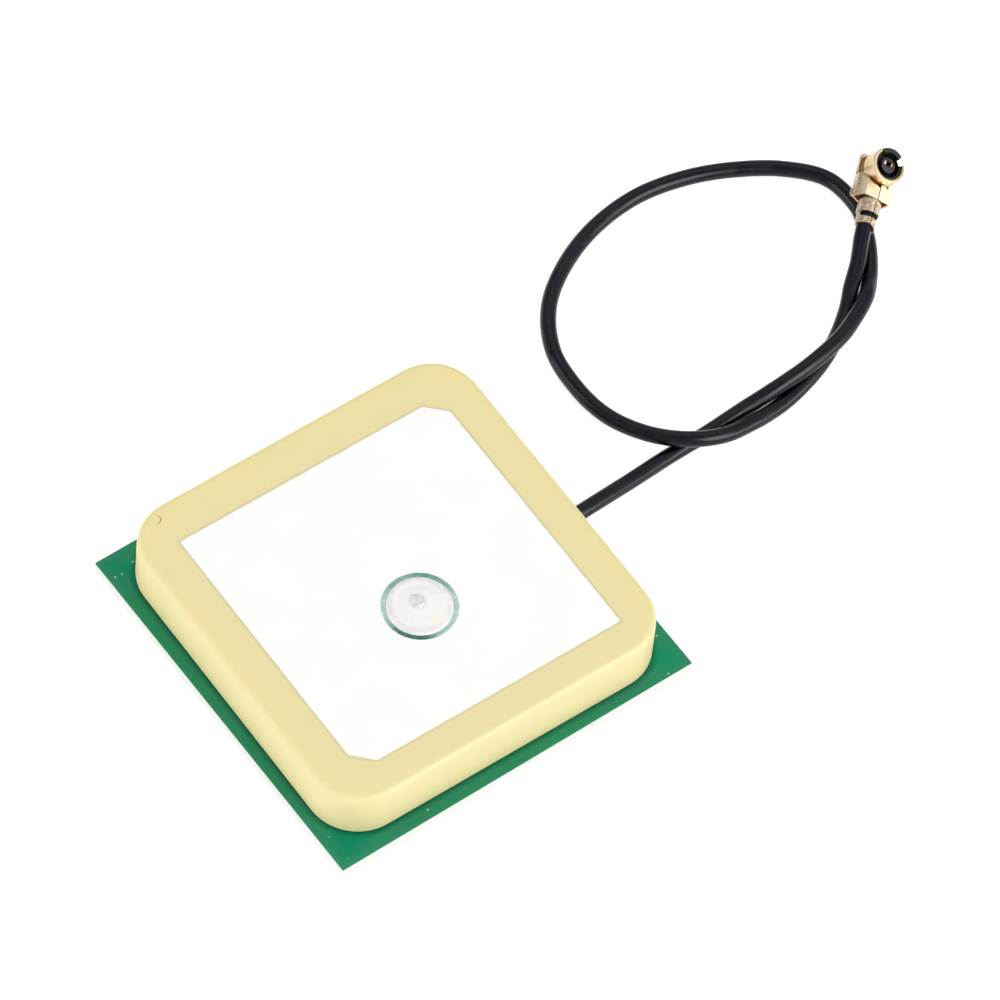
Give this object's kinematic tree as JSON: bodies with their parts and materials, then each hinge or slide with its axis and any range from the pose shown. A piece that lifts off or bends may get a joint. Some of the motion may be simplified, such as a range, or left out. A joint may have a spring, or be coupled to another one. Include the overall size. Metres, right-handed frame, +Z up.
{
  "type": "gps patch antenna",
  "caption": "Square ceramic patch antenna on a green amplifier board with a shield can, a thin looped coaxial lead and a right-angle push-on plug.",
  "frame": {"origin": "on the surface it stands on, under the middle of the circuit board", "axes": "+Z up out of the patch face, +X toward the side the lead leaves, X and Y along the board's edges"},
  "size_m": [0.0612, 0.0325, 0.0077],
  "materials": {
    "ceramic": "fired, matt",
    "fired_silver": "screen-printed and fired, matt",
    "green_ink": "printed solder stop",
    "tinned_pin": "tinned brass",
    "solder": "dull solder",
    "adhesive": "transfer tape",
    "green_board": "glass-epoxy laminate with green solder mask",
    "tinned_copper": "tinned copper",
    "tinned_steel": "tinplate",
    "moulding_black": "moulded",
    "filter_lid": "plated lid",
    "chip_brown": "chip body with plated ends",
    "chip_black": "chip body with plated ends",
    "chip_grey": "chip body with plated ends",
    "jacket_black": "smooth extruded jacket",
    "tinned_braid": "plated wire braid",
    "dielectric_white": "smooth",
    "plated_conductor": "stranded, plated",
    "gold_plate": "thin gold plate over stamped bronze sheet",
    "insulator_black": "moulded",
    "gold_contact": "gold plate"
  },
  "bodies": {
    "root": {"ceramic_block": "ceramic", "patch_electrode": "fired_silver", "ground_electrode": "fired_silver", "solder_stop_ring": "green_ink", "feed_pin": "tinned_pin", "feed_solder_top": "solder", "feed_solder_bottom": "solder", "adhesive_pad": "adhesive", "circuit_board": "green_board", "copper_lands": "tinned_copper", "shield_can": "tinned_steel", "can_solder": "solder", "amplifier_first": "moulding_black", "amplifier_second": "moulding_black", "saw_filter": "filter_lid", "capacitors": "chip_brown", "resistors": "chip_black", "inductors": "chip_grey", "braid_solder": "solder", "core_solder": "solder", "cable_jacket": "jacket_black", "cable_braid": "tinned_braid", "cable_dielectric": "dielectric_white", "cable_conductor": "plated_conductor", "plug_shell": "gold_plate", "plug_insulator": "insulator_black", "plug_contact": "gold_contact"}
  },
  "joints": []
}
